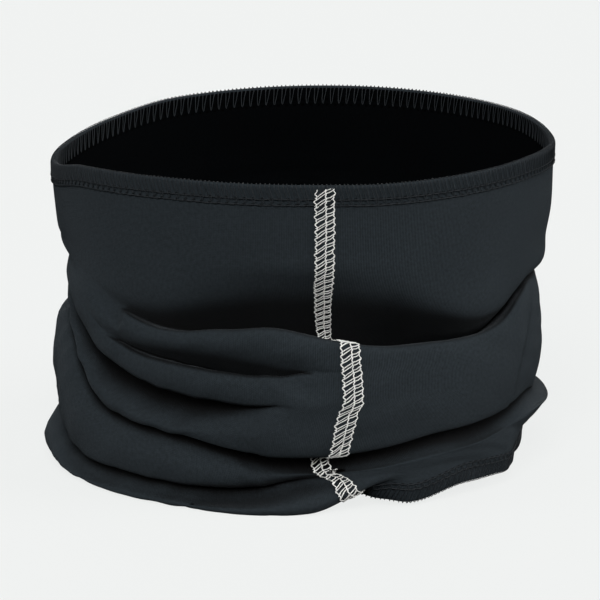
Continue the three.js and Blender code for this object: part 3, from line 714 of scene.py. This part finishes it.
def stitching_tree():
    tree = bpy.data.node_groups.new("stitches wrapped on cloth", "GeometryNodeTree")
    face = tree.interface
    face.new_socket("Geometry", in_out="INPUT", socket_type="NodeSocketGeometry")
    for name, kind in TREE_INPUTS:
        face.new_socket(name, in_out="INPUT", socket_type=kind)
    face.new_socket("Geometry", in_out="OUTPUT", socket_type="NodeSocketGeometry")
    link = tree.links.new
    given = add(tree, "NodeGroupInput").outputs

    line = add(tree, "GeometryNodeMeshLine", mode="OFFSET")
    link(given["Stitches"], line.inputs["Count"])
    link(given["First"], line.inputs["Start Location"])
    link(given["Step"], line.inputs["Offset"])
    drawn = add(tree, "GeometryNodeObjectInfo")
    link(given["One Stitch"], drawn.inputs["Object"])
    repeat = add(tree, "GeometryNodeInstanceOnPoints")
    link(line.outputs["Mesh"], repeat.inputs["Points"])
    link(drawn.outputs["Geometry"], repeat.inputs["Instance"])
    strands = add(tree, "GeometryNodeRealizeInstances")
    link(repeat.outputs["Instances"], strands.inputs["Geometry"])

    along = add(tree, "GeometryNodeCaptureAttribute", domain="POINT")
    along.capture_items.new("FLOAT", "Along")
    link(strands.outputs["Geometry"], along.inputs["Geometry"])
    link(add(tree, "GeometryNodeSplineParameter").outputs["Length"], along.inputs["Along"])
    ring = add(tree, "GeometryNodeCurvePrimitiveCircle", mode="RADIUS")
    ring.inputs["Resolution"].default_value = THREAD_SIDES
    link(given["Thread Radius"], ring.inputs["Radius"])
    turn = add(tree, "GeometryNodeCaptureAttribute", domain="POINT")
    turn.capture_items.new("FLOAT", "Turn")
    link(ring.outputs["Curve"], turn.inputs["Geometry"])
    link(add(tree, "GeometryNodeSplineParameter").outputs["Factor"], turn.inputs["Turn"])
    tube = add(tree, "GeometryNodeCurveToMesh")
    link(along.outputs["Geometry"], tube.inputs["Curve"])
    link(turn.outputs["Geometry"], tube.inputs["Profile Curve"])
    twist = add(tree, "ShaderNodeCombineXYZ")
    link(along.outputs["Along"], twist.inputs["X"])
    link(turn.outputs["Turn"], twist.inputs["Y"])
    store = add(tree, "GeometryNodeStoreNamedAttribute", data_type="FLOAT_VECTOR", domain="POINT")
    store.inputs["Name"].default_value = "thread"
    link(tube.outputs["Mesh"], store.inputs["Geometry"])
    link(twist.outputs["Vector"], store.inputs["Value"])

    place = add(tree, "GeometryNodeInputPosition").outputs["Position"]
    rate = add(tree, "ShaderNodeMath", operation="DIVIDE")
    rate.inputs[0].default_value = 1.0
    link(given["Unevenness Size"], rate.inputs[1])
    wobble = add(tree, "ShaderNodeTexNoise", noise_dimensions="4D")
    wobble.inputs["Detail"].default_value = 1.0
    link(place, wobble.inputs["Vector"])
    link(given["Seed"], wobble.inputs["W"])
    link(rate.outputs["Value"], wobble.inputs["Scale"])
    centred = vector_math(tree, "SUBTRACT", wobble.outputs["Color"], (0.5, 0.5, 0.5))
    level = vector_math(tree, "MULTIPLY", centred, NUDGE_SHARES)
    scaled = add(tree, "ShaderNodeVectorMath", operation="SCALE")
    link(level, scaled.inputs["Vector"])
    link(given["Unevenness"], scaled.inputs["Scale"])
    nudge = add(tree, "GeometryNodeSetPosition")
    link(store.outputs["Geometry"], nudge.inputs["Geometry"])
    link(scaled.outputs["Vector"], nudge.inputs["Offset"])

    cloth_info = add(tree, "GeometryNodeObjectInfo")
    link(given["Cloth"], cloth_info.inputs["Object"])
    flat = add(tree, "GeometryNodeInputNamedAttribute", data_type="FLOAT_VECTOR")
    flat.inputs["Name"].default_value = "flat_sheet"
    way = add(tree, "GeometryNodeInputNamedAttribute", data_type="FLOAT_VECTOR")
    way.inputs["Name"].default_value = "outward"

    def sampled(value):
        look = add(tree, "GeometryNodeSampleUVSurface", data_type="FLOAT_VECTOR")
        link(cloth_info.outputs["Geometry"], look.inputs["Mesh"])
        link(value, look.inputs["Value"])
        link(flat.outputs["Attribute"], look.inputs["UV Map"])
        link(place, look.inputs["Sample UV"])
        return look

    point = sampled(place)
    direction = sampled(way.outputs["Attribute"])
    missed = add(tree, "FunctionNodeBooleanMath", operation="NOT")
    link(point.outputs["Is Valid"], missed.inputs[0])
    trim = add(tree, "GeometryNodeDeleteGeometry", domain="POINT")
    link(nudge.outputs["Geometry"], trim.inputs["Geometry"])
    link(missed.outputs["Boolean"], trim.inputs["Selection"])
    parts = add(tree, "ShaderNodeSeparateXYZ")
    link(place, parts.inputs["Vector"])
    lift = add(tree, "ShaderNodeVectorMath", operation="SCALE")
    link(vector_math(tree, "NORMALIZE", direction.outputs["Value"]), lift.inputs["Vector"])
    link(parts.outputs["Z"], lift.inputs["Scale"])
    lifted = vector_math(tree, "ADD", point.outputs["Value"], lift.outputs["Vector"])
    wrap = add(tree, "GeometryNodeSetPosition")
    link(trim.outputs["Geometry"], wrap.inputs["Geometry"])
    link(lifted, wrap.inputs["Position"])

    smooth = add(tree, "GeometryNodeSetShadeSmooth")
    link(wrap.outputs["Geometry"], smooth.inputs["Geometry"])
    whole = add(tree, "GeometryNodeRealizeInstances")
    link(smooth.outputs["Geometry"], whole.inputs["Geometry"])
    paint = add(tree, "GeometryNodeSetMaterial")
    link(whole.outputs["Geometry"], paint.inputs["Geometry"])
    link(given["Thread"], paint.inputs["Material"])
    link(paint.outputs["Geometry"], add(tree, "NodeGroupOutput").inputs["Geometry"])
    return tree


STITCHING = stitching_tree()
print("nodes in the stitching tree:", len(STITCHING.nodes))

# %% [markdown]
# A stitch is drawn as a few smooth curves. To sew is to run the tree on it along a guide strip and
# keep the mesh that comes out. Where the hem lies rolled on the floor, its threads are flattened.

# %% Drawing one stitch and sewing with it
CURVE_STEPS = 3


def drawn_stitch(name, strands, scale):
    curve = bpy.data.curves.new(name, "CURVE")
    curve.dimensions = "3D"
    curve.resolution_u = CURVE_STEPS
    for strand in strands:
        spline = curve.splines.new("NURBS")
        spline.points.add(len(strand) - 1)
        for point, place in zip(spline.points, strand):
            point.co = (*(size * n * MM for size, n in zip(scale, place)), 1)
        spline.order_u = 3
        spline.use_endpoint_u = True
        spline.resolution_u = CURVE_STEPS
    stitch = bpy.data.objects.new(name, curve)
    bpy.context.scene.collection.objects.link(stitch)
    return stitch


def sew(name, stitch, guide, count, first, step, radius, material, seed, uneven, size=3.0):
    piece = bpy.data.objects.new(name, bpy.data.meshes.new(name))
    bpy.context.scene.collection.objects.link(piece)
    sewing = piece.modifiers.new("sewing", "NODES")
    sewing.node_group = STITCHING
    values = {
        "One Stitch": stitch, "Cloth": guide, "Stitches": count,
        "First": [n * MM for n in (*first, 0)], "Step": [n * MM for n in (*step, 0)],
        "Thread Radius": radius * MM, "Unevenness": uneven * MM, "Unevenness Size": size * MM,
        "Seed": float(seed), "Thread": material,
    }
    for item in STITCHING.interface.items_tree:
        if item.in_out == "INPUT" and item.name in values:
            sewing[item.identifier] = values[item.name]
    seen = piece.evaluated_get(bpy.context.evaluated_depsgraph_get())
    made = bpy.data.meshes.new_from_object(seen)
    places = np.empty((len(made.vertices), 3))
    made.vertices.foreach_get("co", places.ravel())
    places[:, 2] = np.maximum(places[:, 2], 0)
    made.vertices.foreach_set("co", places.ravel())
    piece.modifiers.clear()
    piece.data = made
    made.name = name
    print(f"{name}: {count} stitches, {len(made.polygons)} faces")
    return piece


# %% [markdown]
# ## The finishes
# The cloth is a fine single knit: columns of small V-shaped loops, far narrower than a millimetre.
# They are drawn in the shader from the sheet's own flat coordinates, as height for a bump and as a
# little shade between the loops. Slow and quick noise break up the colour, as dye and light do.
# The needles leave a row of small holes beside each edge. The lights alone leave the deep folds too
# pale, so shade is also painted into the colour: it is turned down by how shut in a place is,
# measured with Ambient Occlusion. That painted shade is a trick for contrast, no property of the
# cloth.

# %% A shader's helpers
def new_material(name):
    material = bpy.data.materials.new(name)
    material.use_nodes = True
    tree = material.node_tree
    shader = tree.nodes["Principled BSDF"]
    return material, tree, shader


def math_node(tree, operation, *inputs, clamp=False):
    made = add(tree, "ShaderNodeMath", operation=operation, use_clamp=clamp)
    for socket, value in zip(made.inputs, inputs):
        if isinstance(value, bpy.types.NodeSocket):
            tree.links.new(value, socket)
        else:
            socket.default_value = value
    return made.outputs["Value"]


def linear(*display):
    shares = [c / 255 for c in display]
    return [((c + 0.055) / 1.055) ** 2.4 if c > 0.04 else c / 12.92 for c in shares]


def varied(tree, shade, source, swing, base):
    return math_node(tree, "MULTIPLY", shade, math_node(tree, "MULTIPLY_ADD", source, swing, base))


# %% The knit
WALE = 0.55
COURSE = 0.42
STITCH_PITCH = 2.8
NEEDLE_ROWS = (4.1, 6.1)
HOLE_LENGTH = 0.17
HOLE_HALF_WIDTH = 0.45
HOLE_SHADE = 0.8
SLOW_NOISE = 0.035
QUICK_NOISE = 0.9
NAP_HEIGHT = 0.9
LOOP_SLANT = 0.9
LOOP_RIPPLE = 0.3
BUMP_HEIGHT = 0.15
PAINTED_SHADE_REACH = 22.0
PAINTED_SHADE_FALL = 1.6
PAINTED_SHADE_DARK = 0.56
PAINTED_SHADE_OPEN = 0.85


def knit(name, colour, sheen, depth, gloss):
    material, tree, shader = new_material(name)
    link = tree.links.new
    flat = add(tree, "ShaderNodeUVMap", uv_map="flat_sheet")
    parts = add(tree, "ShaderNodeSeparateXYZ")
    link(flat.outputs["UV"], parts.inputs["Vector"])
    u, v = parts.outputs["X"], parts.outputs["Y"]

    in_wale = math_node(tree, "FRACT", math_node(tree, "DIVIDE", u, WALE))
    from_middle = math_node(tree, "ABSOLUTE", math_node(tree, "SUBTRACT", in_wale, 0.5))
    slant = math_node(tree, "MULTIPLY", from_middle, LOOP_SLANT)
    course = math_node(tree, "ADD", math_node(tree, "DIVIDE", v, COURSE), slant)
    ripple = math_node(tree, "SINE", math_node(tree, "MULTIPLY", course, 2 * np.pi))
    crown = math_node(tree, "MULTIPLY", from_middle, math_node(tree, "MULTIPLY", from_middle, 4.0))
    loops = math_node(tree, "SUBTRACT", math_node(tree, "MULTIPLY", ripple, LOOP_RIPPLE), crown)

    slow = add(tree, "ShaderNodeTexNoise")
    slow.inputs["Scale"].default_value = SLOW_NOISE
    slow.inputs["Detail"].default_value = 2.0
    link(flat.outputs["UV"], slow.inputs["Vector"])
    quick = add(tree, "ShaderNodeTexNoise")
    quick.inputs["Scale"].default_value = QUICK_NOISE
    quick.inputs["Detail"].default_value = 3.0
    link(flat.outputs["UV"], quick.inputs["Vector"])
    nap = math_node(tree, "MULTIPLY", quick.outputs["Fac"], NAP_HEIGHT)
    height = math_node(tree, "ADD", loops, nap)

    shade = math_node(tree, "MULTIPLY_ADD", loops, 0.22, 1.06)
    shade = varied(tree, shade, slow.outputs["Fac"], 0.3, 0.85)
    shade = varied(tree, shade, quick.outputs["Fac"], 0.9, 0.55)

    along = math_node(tree, "FRACT", math_node(tree, "DIVIDE", u, STITCH_PITCH))
    hole_x = math_node(tree, "ABSOLUTE", math_node(tree, "SUBTRACT", along, 0.5))
    open_x = math_node(tree, "LESS_THAN", hole_x, HOLE_LENGTH)
    from_hem = math_node(tree, "SUBTRACT", FLAT_HEIGHT, v)
    for edge in (v, from_hem):
        for row in NEEDLE_ROWS:
            off = math_node(tree, "ABSOLUTE", math_node(tree, "SUBTRACT", edge, row))
            open_y = math_node(tree, "LESS_THAN", off, HOLE_HALF_WIDTH)
            hole = math_node(tree, "MULTIPLY", open_y, open_x)
            shade = varied(tree, shade, hole, -HOLE_SHADE, 1.0)

    # Painted shade: the colour darkens where Ambient Occlusion finds the cloth shut in by folds.
    painted_crevice_shade = add(tree, "ShaderNodeAmbientOcclusion", samples=8, only_local=True)
    painted_crevice_shade.inputs["Distance"].default_value = PAINTED_SHADE_REACH * MM
    openness = math_node(tree, "SUBTRACT", painted_crevice_shade.outputs["AO"], PAINTED_SHADE_DARK)
    openness = math_node(tree, "DIVIDE", openness, PAINTED_SHADE_OPEN - PAINTED_SHADE_DARK, clamp=True)
    shade = math_node(tree, "MULTIPLY", shade, math_node(tree, "POWER", openness, PAINTED_SHADE_FALL))

    tint = add(tree, "ShaderNodeVectorMath", operation="SCALE")
    tint.inputs["Vector"].default_value = colour
    link(shade, tint.inputs["Scale"])
    link(tint.outputs["Vector"], shader.inputs["Base Color"])
    bump = add(tree, "ShaderNodeBump")
    bump.inputs["Strength"].default_value = depth
    bump.inputs["Distance"].default_value = BUMP_HEIGHT * MM
    link(height, bump.inputs["Height"])
    link(bump.outputs["Normal"], shader.inputs["Normal"])
    shader.inputs["Roughness"].default_value = 0.92
    shader.inputs["Specular IOR Level"].default_value = gloss
    shader.inputs["Sheen Weight"].default_value = sheen
    shader.inputs["Sheen Roughness"].default_value = 0.45
    shader.inputs["Sheen Tint"].default_value = (0.75, 0.86, 0.95, 1)
    return material


CHARCOAL = linear(36, 42, 46)
# The back face, inside the tube, is near black: painted shade for the dark inside, which the lights
# alone leave too bright.
INSIDE_PAINTED_SHADE = linear(3, 4, 5)
knit_face = knit("charcoal_knit_face", CHARCOAL, 0.05, 0.6, 0.12)
knit_back = knit("knit_back_painted_shade", INSIDE_PAINTED_SHADE, 0.0, 0.4, 0.02)
panel.data.materials.append(knit_face)
panel.data.materials.append(knit_back)
print("knit: one wale every", WALE, "mm")

# %% [markdown]
# Thread is two or three fine yarns twisted together. The tree left each thread's length and turn
# on its mesh, so the twist winds round the thread wherever the thread goes.

# %% The threads
YARN_TWIST = 0.8
YARN_FUZZ = 1800.0
YARN_RELIEF = 0.06


def thread(name, colour, roughness, sheen):
    material, tree, shader = new_material(name)
    link = tree.links.new
    wound = add(tree, "ShaderNodeAttribute", attribute_name="thread")
    parts = add(tree, "ShaderNodeSeparateXYZ")
    link(wound.outputs["Vector"], parts.inputs["Vector"])
    turns = math_node(tree, "DIVIDE", parts.outputs["X"], YARN_TWIST * MM)
    phase = math_node(tree, "MULTIPLY_ADD", parts.outputs["Y"], 2.0, turns)
    strand = math_node(tree, "SINE", math_node(tree, "MULTIPLY", phase, 2 * np.pi))
    where = add(tree, "ShaderNodeTexCoord")
    fuzz = add(tree, "ShaderNodeTexNoise")
    fuzz.inputs["Scale"].default_value = YARN_FUZZ
    link(where.outputs["Object"], fuzz.inputs["Vector"])
    # The twist also darkens the colour a little in the grooves between the yarns: painted shade.
    shade = math_node(tree, "MULTIPLY_ADD", strand, 0.12, 0.88)
    shade = varied(tree, shade, fuzz.outputs["Fac"], 0.5, 0.75)
    tint = add(tree, "ShaderNodeVectorMath", operation="SCALE")
    tint.inputs["Vector"].default_value = colour
    link(shade, tint.inputs["Scale"])
    link(tint.outputs["Vector"], shader.inputs["Base Color"])
    bump = add(tree, "ShaderNodeBump")
    bump.inputs["Strength"].default_value = 0.6
    bump.inputs["Distance"].default_value = YARN_RELIEF * MM
    link(strand, bump.inputs["Height"])
    link(bump.outputs["Normal"], shader.inputs["Normal"])
    shader.inputs["Roughness"].default_value = roughness
    shader.inputs["Specular IOR Level"].default_value = 0.3
    shader.inputs["Sheen Weight"].default_value = sheen
    return material


white_thread = thread("white_polyester_thread", linear(250, 250, 246), 0.55, 0.15)
dark_thread = thread("charcoal_polyester_thread", linear(29, 34, 38), 0.6, 0.0)

# %% [markdown]
# ## The flat seam
# A flatlock seam holds two cut edges side by side. Three needle threads run along it as rails. A
# cover thread crosses the face in two slanting rungs for each stitch, and a looper thread runs to
# and fro on the back. Each is drawn once. x is across the seam, y down it as a share of one
# stitch, and z off the cloth.

# %% One flatlock stitch
SEAM_PITCH = 2.65
CENTRE = 0.35
left_rail = [
    (-2.65, 0, 0.4), (-2.5, 0.2, 0.45), (-3.55, 0.5, 0.4), (-2.5, 0.8, 0.45), (-2.65, 1, 0.4),
]
centre_rail = [
    (0.2, 0, 0.45), (0.6, 0.15, 0.55), (0.1, 0.4, 0.5), (0.6, 0.6, 0.55), (0.1, 0.85, 0.5),
    (0.2, 1, 0.45),
]
right_rail = [
    (2.75, 0, 0.4), (2.65, 0.3, 0.45), (3.35, 0.55, 0.4), (2.65, 0.85, 0.45), (2.75, 1, 0.4),
]
RUNGS = (0.12, 0.48)
LEFT_SLANT = 0.95
RIGHT_SLANT = 0.5
cover = []
for rung in RUNGS:
    at_centre = (CENTRE, rung, 0.4)
    left_end = (-3.1, rung + LEFT_SLANT, 0.35)
    right_end = (3.0, rung - RIGHT_SLANT, 0.35)
    cover.append([left_end, (-1.4, rung + LEFT_SLANT / 2, 0.5), at_centre])
    cover.append([at_centre, (1.7, rung, 0.5), right_end])
looper = [
    [(-3.2, 0, 0.35), (-3.5, 0.5, 0.45), (-3.2, 1, 0.35)],
    [(3.2, 0, 0.35), (3.5, 0.5, 0.45), (3.2, 1, 0.35)],
    [(-3.2, 0.1, 0.4), (0, 0.5, 0.5), (3.2, 0.9, 0.4)],
]
SEAM_ENDS = 0.6
SEAM_UNEVEN = 0.28
SEAM_SEED = 1
stitches_down = int((SEAM_LENGTH - 2 * SEAM_ENDS) / SEAM_PITCH)
threads = []
for name, node, strands, radius, guide in (
    ("seam_needle_left", "seam_needle_thread_left", [left_rail], 0.2, seam_face),
    ("seam_needle_centre", "seam_needle_thread_centre", [centre_rail], 0.2, seam_face),
    ("seam_needle_right", "seam_needle_thread_right", [right_rail], 0.2, seam_face),
    ("seam_cover", "seam_cover_thread", cover, 0.17, seam_face),
    ("seam_looper", "seam_looper_thread", looper, 0.2, seam_back),
):
    stitch = drawn_stitch(f"one_{name}", strands, (1, SEAM_PITCH, 1))
    piece = sew(name, stitch, guide, stitches_down, (0, SEAM_ENDS), (0, SEAM_PITCH), radius,
                white_thread, SEAM_SEED, SEAM_UNEVEN)
    threads.append((piece, node, "white_thread"))
    bpy.data.objects.remove(stitch)

# %% [markdown]
# ## The overlocked edges
# Four threads finish each edge. Two loopers cover the cut edge, one on each face, and meet over
# it. Two needle threads hold them down, in rows set back from the edge. x runs along the edge, as
# a share of one stitch, and y away from it, so a negative y has gone over the edge to the back.

# %% One overlock stitch
upper_looper = [[
    (0.2, -2.6, 0.3), (0.25, -0.8, 0.4), (0.3, 0.6, 0.35), (0.8, 4.1, 0.35), (1.05, 6.0, 0.3),
    (1.2, 4.1, 0.35), (0.75, 0.6, 0.35), (0.7, -0.8, 0.4), (0.7, -2.6, 0.3),
]]
lower_looper = [[
    (0.2, -1.9, 0.35), (0.5, -6.3, 0.3), (0.65, -8.3, 0.3), (0.8, -6.3, 0.3), (0.7, -1.9, 0.35),
]]


def needle_row(row):
    return [[(0, row, 0.1), (0.3, row, 0.5), (0.7, row, 0.5), (1, row, 0.1)]]


EDGE_UNEVEN = 0.12
per_edge = int(FLAT_WIDTH / STITCH_PITCH)
pitch = FLAT_WIDTH / per_edge
for edge, guide, seed in (("top", top_edge, 5), ("hem", hem_edge, 8)):
    for name, strands, radius in (
        ("upper_looper", upper_looper, 0.15),
        ("lower_looper", lower_looper, 0.14),
        ("needle_1", needle_row(NEEDLE_ROWS[0]), 0.2),
        ("needle_2", needle_row(NEEDLE_ROWS[1]), 0.2),
    ):
        stitch = drawn_stitch(f"one_{edge}_{name}", strands, (STITCH_PITCH, 1, 1))
        node = f"{edge}_{name.replace('needle', 'needle_thread')}"
        node = node if "needle" in node else f"{node}_thread"
        piece = sew(f"{edge}_{name}", stitch, guide, per_edge, (0, 0), (pitch, 0), radius,
                    dark_thread, seed, EDGE_UNEVEN)
        threads.append((piece, node, "charcoal_thread"))
        bpy.data.objects.remove(stitch)

for guide in (seam_face, seam_back, top_edge, hem_edge):
    bpy.data.objects.remove(guide)

# %% [markdown]
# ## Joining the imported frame
# Each piece takes the place of its node in the frame. Nothing moves against anything else on a
# gaiter, so all of them ride on its one body.

# %% Pieces and nodes
pieces = [(panel, "body_panel", "charcoal_knit")] + threads
for piece, node, slot in pieces:
    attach(piece, "root")
    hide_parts(node)
print("pieces:", [piece.name for piece, _, _ in pieces])

# %% [markdown]
# ## Floor, light and camera
# A plain pale floor runs on under the whole view. It glows, so that it stays even, and is kept from
# lighting the cloth. The light is a studio's: a key light high in front, one at each side, a weak
# one behind, and a dim room round them. A long lens looks slightly down.

# %% The floor
FLOOR_SIZE = 30.0
FLOOR_GREY = 0.09
FLOOR_GLOW = 0.895
PALE = linear(241, 243, 242)


def make_floor():
    mesh = bpy.data.meshes.new("floor")
    half = FLOOR_SIZE / 2
    corners = [(-half, -half, 0), (half, -half, 0), (half, half, 0), (-half, half, 0)]
    mesh.from_pydata(corners, [], [(0, 1, 2, 3)])
    made = bpy.data.objects.new("floor", mesh)
    bpy.context.scene.collection.objects.link(made)
    material, _, shader = new_material("pale_floor")
    shader.inputs["Base Color"].default_value = (FLOOR_GREY, FLOOR_GREY, FLOOR_GREY, 1)
    shader.inputs["Roughness"].default_value = 0.9
    shader.inputs["Specular IOR Level"].default_value = 0.0
    shader.inputs["Emission Color"].default_value = (*PALE, 1)
    shader.inputs["Emission Strength"].default_value = FLOOR_GLOW
    mesh.materials.append(material)
    return made


floor = make_floor()
floor.visible_diffuse = False
floor.visible_glossy = False

# %% The light
def distant_light(name, azimuth, elevation, strength, spread):
    lamp = bpy.data.lights.new(name, "SUN")
    lamp.energy = strength
    lamp.angle = np.radians(spread)
    made = bpy.data.objects.new(name, lamp)
    turn, tilt = np.radians(azimuth), np.radians(elevation)
    toward = -Vector((np.sin(turn) * np.cos(tilt), -np.cos(turn) * np.cos(tilt), np.sin(tilt)))
    made.rotation_euler = toward.to_track_quat("-Z", "Y").to_euler()
    bpy.context.scene.collection.objects.link(made)
    return made


distant_light("key", -5, 36, 2.45, 30)
distant_light("left", -75, 20, 0.9, 40)
distant_light("right", 80, 20, 2.1, 40)
distant_light("back", 175, 15, 0.8, 40)


ROOM_STRENGTH = 0.15


def studio_world():
    world = bpy.data.worlds.new("studio")
    world.use_nodes = True
    tree = world.node_tree
    room = tree.nodes["Background"]
    way = add(tree, "ShaderNodeTexCoord")
    parts = add(tree, "ShaderNodeSeparateXYZ")
    tree.links.new(way.outputs["Generated"], parts.inputs["Vector"])
    ramp = add(tree, "ShaderNodeValToRGB")
    tree.links.new(parts.outputs["Z"], ramp.inputs["Fac"])
    low, high = ramp.color_ramp.elements
    low.position, low.color = 0.0, (0.03, 0.03, 0.03, 1)
    high.position, high.color = 0.7, (1, 1, 1, 1)
    tree.links.new(ramp.outputs["Color"], room.inputs["Color"])
    room.inputs["Strength"].default_value = ROOM_STRENGTH
    wall = add(tree, "ShaderNodeBackground")
    wall.inputs["Color"].default_value = (*PALE, 1)
    seen = add(tree, "ShaderNodeLightPath")
    both = add(tree, "ShaderNodeMixShader")
    tree.links.new(seen.outputs["Is Camera Ray"], both.inputs["Fac"])
    tree.links.new(room.outputs["Background"], both.inputs[1])
    tree.links.new(wall.outputs["Background"], both.inputs[2])
    tree.links.new(both.outputs["Shader"], tree.nodes["World Output"].inputs["Surface"])
    return world


bpy.context.scene.world = studio_world()
bpy.context.scene.view_settings.view_transform = "Standard"

# %% The camera
CAMERA_ELEVATION = 14.0
CAMERA_DISTANCE = 2.2
TARGET = Vector((0, 0, 0.0545))
VIEW_WIDTH = 0.207
SENSOR = 36.0
lens = bpy.data.cameras.new("camera")
lens.sensor_width = SENSOR
lens.lens = SENSOR * CAMERA_DISTANCE / VIEW_WIDTH
camera = bpy.data.objects.new("camera", lens)
tilt = np.radians(CAMERA_ELEVATION)
back = Vector((0, -np.cos(tilt), np.sin(tilt)))
camera.location = TARGET + CAMERA_DISTANCE * back
camera.rotation_euler = (-back).to_track_quat("-Z", "Y").to_euler()
bpy.context.scene.collection.objects.link(camera)
bpy.context.scene.camera = camera
